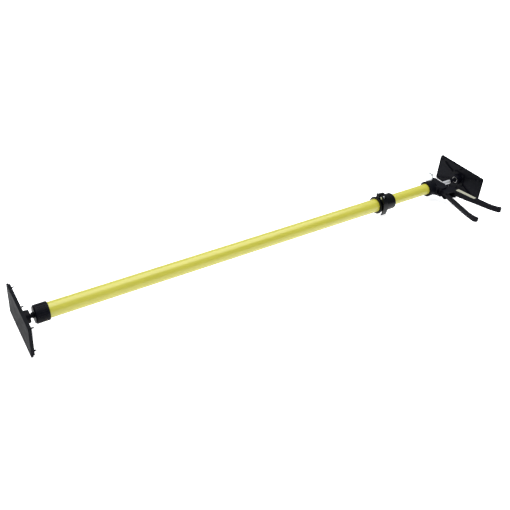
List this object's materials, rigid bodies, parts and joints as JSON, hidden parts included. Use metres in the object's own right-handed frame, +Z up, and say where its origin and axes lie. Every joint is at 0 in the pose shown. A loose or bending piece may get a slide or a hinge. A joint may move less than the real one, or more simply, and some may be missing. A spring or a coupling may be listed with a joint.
{
  "type": "telescopic support pole",
  "caption": "Telescopic quick-action support pole lying on its two rubber-faced swivel pads, with a tube clamp and a pump grip at the head.",
  "frame": {"origin": "centre of the foot pad's contact face, on the pole's axis", "axes": "+X along the pole from the foot pad to the head pad; +Y level, away from the grip's levers; +Z up with the pole lying on the long edges of its two pads"},
  "size_m": [1.15, 0.2281, 0.0734],
  "materials": {
    "yellow_paint": "smooth semi-gloss powder coat",
    "black_rubber": "matt moulded rubber",
    "black_plastic": "moulded glass-filled nylon, fine grain",
    "glossy_black": "glossy moulded plastic",
    "black_steel": "black coated steel",
    "bright_steel": "drawn and ground bright steel",
    "zinc_steel": "zinc plated steel",
    "white_nylon": "natural nylon",
    "label": "blank printed film, satin"
  },
  "bodies": {
    "outer": {"outer_tube": "yellow_paint", "foot_collar": "black_plastic", "clamp_body": "glossy_black", "clamp_liner": "white_nylon", "clamp_bolt": "zinc_steel", "clamp_washer": "zinc_steel", "clamp_barrel": "zinc_steel"},
    "foot_stud": {"foot_ball_stud": "black_steel", "foot_stud_clip": "zinc_steel"},
    "foot_liner_body": {"foot_liner": "white_nylon"},
    "foot_pad": {"foot_rubber": "black_rubber", "foot_plate": "black_steel", "foot_socket": "black_plastic", "foot_rivets": "black_steel"},
    "clamp_lever_body": {"clamp_lever": "glossy_black"},
    "slide_bush": {"inner_tube_bush": "white_nylon"},
    "inner": {"inner_tube": "yellow_paint", "inner_tube_plug": "black_plastic", "head_shell_upper": "black_plastic", "head_shell_lower": "black_plastic", "head_screws": "black_steel", "head_rivet": "black_steel", "handle_label": "label", "trigger_pin": "zinc_steel", "brake_spring": "bright_steel", "drive_spring": "bright_steel"},
    "trigger_body": {"trigger": "black_plastic"},
    "drive": {"drive_plate": "black_steel"},
    "brake": {"brake_plate": "zinc_steel"},
    "rod": {"push_rod": "bright_steel", "rod_stop": "zinc_steel"},
    "top_stud": {"top_ball_stud": "black_steel", "top_thrust_washer": "black_plastic"},
    "top_liner_body": {"top_liner": "white_nylon"},
    "top_pad": {"top_rubber": "black_rubber", "top_plate": "black_steel", "top_socket": "black_plastic", "top_rivets": "black_steel"}
  },
  "joints": [
    {"name": "foot_swivel", "type": "hinge", "parent": "outer", "child": "foot_stud", "pos_m": [0.031, 0, 0], "axis": [1, 0, 0], "continuous": true},
    {"name": "foot_tilt_sideways", "type": "hinge", "parent": "foot_stud", "child": "foot_liner_body", "pos_m": [0.016, 0, 0], "axis": [0, 0, 1], "range_deg": [-18, 18]},
    {"name": "foot_tilt_endways", "type": "hinge", "parent": "foot_liner_body", "child": "foot_pad", "pos_m": [0.016, 0, 0], "axis": [0, 1, 0], "range_deg": [-18, 18]},
    {"name": "clamp_lever_swing", "type": "hinge", "parent": "outer", "child": "clamp_lever_body", "pos_m": [0.8723, -0.01, 0.0245], "axis": [1, 0, 0], "range_deg": [-110, 0]},
    {"name": "tube_slide", "type": "slide", "parent": "outer", "child": "slide_bush", "axis": [1, 0, 0], "range_m": [-0.108, 0.52]},
    {"name": "tube_turn", "type": "hinge", "parent": "slide_bush", "child": "inner", "pos_m": [0.24, 0, 0], "axis": [1, 0, 0], "continuous": true},
    {"name": "trigger_pull", "type": "hinge", "parent": "inner", "child": "trigger_body", "pos_m": [1.0578, 0.0155, 0], "axis": [0, 0, 1], "range_deg": [0, 13], "stiffness_Nm_per_rad": 1.2, "springref_deg": -14.32},
    {"name": "drive_plate_slide", "type": "slide", "parent": "inner", "child": "drive", "axis": [1, 0, 0], "range_m": [0, 0.0046], "deforming": ["drive_spring"]},
    {"name": "brake_release", "type": "hinge", "parent": "inner", "child": "brake", "pos_m": [1.0443, 0, -0.0145], "axis": [0, 1, 0], "range_deg": [0, 7], "stiffness_Nm_per_rad": 0.4, "springref_deg": -8.59, "deforming": ["brake_spring"]},
    {"name": "rod_push", "type": "slide", "parent": "inner", "child": "rod", "axis": [1, 0, 0], "range_m": [-0.006, 0.11]},
    {"name": "top_swivel", "type": "hinge", "parent": "rod", "child": "top_stud", "pos_m": [1.12, 0, 0], "axis": [1, 0, 0], "continuous": true},
    {"name": "top_tilt_sideways", "type": "hinge", "parent": "top_stud", "child": "top_liner_body", "pos_m": [1.134, 0, 0], "axis": [0, 0, 1], "range_deg": [-18, 18]},
    {"name": "top_tilt_endways", "type": "hinge", "parent": "top_liner_body", "child": "top_pad", "pos_m": [1.134, 0, 0], "axis": [0, 1, 0], "range_deg": [-18, 18]}
  ],
  "couplings": [
    {"joint": "drive_plate_slide", "follows": "trigger_pull", "m_per_rad": 0.0198}
  ]
}
